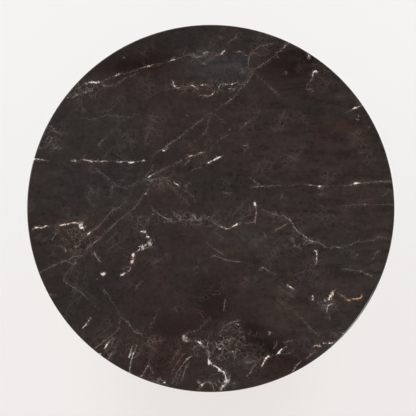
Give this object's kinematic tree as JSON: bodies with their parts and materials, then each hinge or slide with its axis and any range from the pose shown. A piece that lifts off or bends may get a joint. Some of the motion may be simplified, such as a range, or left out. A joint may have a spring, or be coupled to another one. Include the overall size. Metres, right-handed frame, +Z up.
{
  "type": "round pedestal table",
  "caption": "Round pedestal table: polished dark marble top on a plywood sub-top, steel column, spun metal base cover over a cast-iron weight, screw-adjusted levelling feet.",
  "frame": {"origin": "on the floor at the middle of the base, under the column's axis", "axes": "+Z up along the column's axis; X and Y across the round top, with a levelling foot on each diagonal between them"},
  "size_m": [0.9, 0.9, 0.74],
  "materials": {
    "polished_marble": "polished near-black brown marble with pale and rust veins",
    "plywood": "sanded birch plywood, clear sealed",
    "silicone": "cured translucent white silicone",
    "satin_brass": "steel, plated in satin brass",
    "black_steel": "fine-textured black powder coat",
    "cast_iron": "sand cast, black primer",
    "zinc_steel": "bright zinc plate",
    "nylon": "moulded black nylon",
    "rubber": "matt black rubber"
  },
  "bodies": {
    "pedestal": {"marble_top": "polished_marble", "sub_top": "plywood", "bond_pad_1": "silicone", "bond_pad_2": "silicone", "bond_pad_3": "silicone", "bond_pad_4": "silicone", "bond_pad_5": "silicone", "bond_pad_6": "silicone", "column": "satin_brass", "upper_collar": "satin_brass", "lower_collar": "satin_brass", "base_cover": "satin_brass", "mounting_plate": "black_steel", "plate_spigot": "black_steel", "base_weight": "cast_iron", "tie_rod": "zinc_steel", "top_washer": "zinc_steel", "top_nut": "zinc_steel", "bottom_washer": "zinc_steel", "bottom_spring_washer": "zinc_steel", "bottom_nut": "zinc_steel", "upper_grub_screw": "zinc_steel", "lower_grub_screw": "zinc_steel", "insert_1": "zinc_steel", "top_screw_1": "zinc_steel", "top_screw_washer_1": "zinc_steel", "insert_2": "zinc_steel", "top_screw_2": "zinc_steel", "top_screw_washer_2": "zinc_steel", "insert_3": "zinc_steel", "top_screw_3": "zinc_steel", "top_screw_washer_3": "zinc_steel", "insert_4": "zinc_steel", "top_screw_4": "zinc_steel", "top_screw_washer_4": "zinc_steel", "insert_5": "zinc_steel", "top_screw_5": "zinc_steel", "top_screw_washer_5": "zinc_steel", "insert_6": "zinc_steel", "top_screw_6": "zinc_steel", "top_screw_washer_6": "zinc_steel", "rim_strip": "rubber", "leveller_bush_1": "zinc_steel", "leveller_bush_2": "zinc_steel", "leveller_bush_3": "zinc_steel", "leveller_bush_4": "zinc_steel"},
    "foot_1": {"leveller_pad_1": "nylon", "leveller_sole_1": "rubber"},
    "stud_1": {"leveller_stud_1": "zinc_steel"},
    "foot_2": {"leveller_pad_2": "nylon", "leveller_sole_2": "rubber"},
    "stud_2": {"leveller_stud_2": "zinc_steel"},
    "foot_3": {"leveller_pad_3": "nylon", "leveller_sole_3": "rubber"},
    "stud_3": {"leveller_stud_3": "zinc_steel"},
    "foot_4": {"leveller_pad_4": "nylon", "leveller_sole_4": "rubber"},
    "stud_4": {"leveller_stud_4": "zinc_steel"}
  },
  "joints": [
    {"name": "leveller_travel_1", "type": "slide", "parent": "pedestal", "child": "foot_1", "axis": [0, 0, -1], "range_m": [-0.004, 0.005]},
    {"name": "leveller_turn_1", "type": "hinge", "parent": "foot_1", "child": "stud_1", "pos_m": [0.14496, 0.14496, 0.02], "axis": [0, 0, -1], "range_deg": [-960, 1200]},
    {"name": "leveller_travel_2", "type": "slide", "parent": "pedestal", "child": "foot_2", "axis": [0, 0, -1], "range_m": [-0.004, 0.005]},
    {"name": "leveller_turn_2", "type": "hinge", "parent": "foot_2", "child": "stud_2", "pos_m": [-0.14496, 0.14496, 0.02], "axis": [0, 0, -1], "range_deg": [-960, 1200]},
    {"name": "leveller_travel_3", "type": "slide", "parent": "pedestal", "child": "foot_3", "axis": [0, 0, -1], "range_m": [-0.004, 0.005]},
    {"name": "leveller_turn_3", "type": "hinge", "parent": "foot_3", "child": "stud_3", "pos_m": [-0.14496, -0.14496, 0.02], "axis": [0, 0, -1], "range_deg": [-960, 1200]},
    {"name": "leveller_travel_4", "type": "slide", "parent": "pedestal", "child": "foot_4", "axis": [0, 0, -1], "range_m": [-0.004, 0.005]},
    {"name": "leveller_turn_4", "type": "hinge", "parent": "foot_4", "child": "stud_4", "pos_m": [0.14496, -0.14496, 0.02], "axis": [0, 0, -1], "range_deg": [-960, 1200]}
  ],
  "couplings": [
    {"joint": "leveller_travel_1", "follows": "leveller_turn_1", "m_per_rad": 0.0002387},
    {"joint": "leveller_travel_2", "follows": "leveller_turn_2", "m_per_rad": 0.0002387},
    {"joint": "leveller_travel_3", "follows": "leveller_turn_3", "m_per_rad": 0.0002387},
    {"joint": "leveller_travel_4", "follows": "leveller_turn_4", "m_per_rad": 0.0002387}
  ]
}
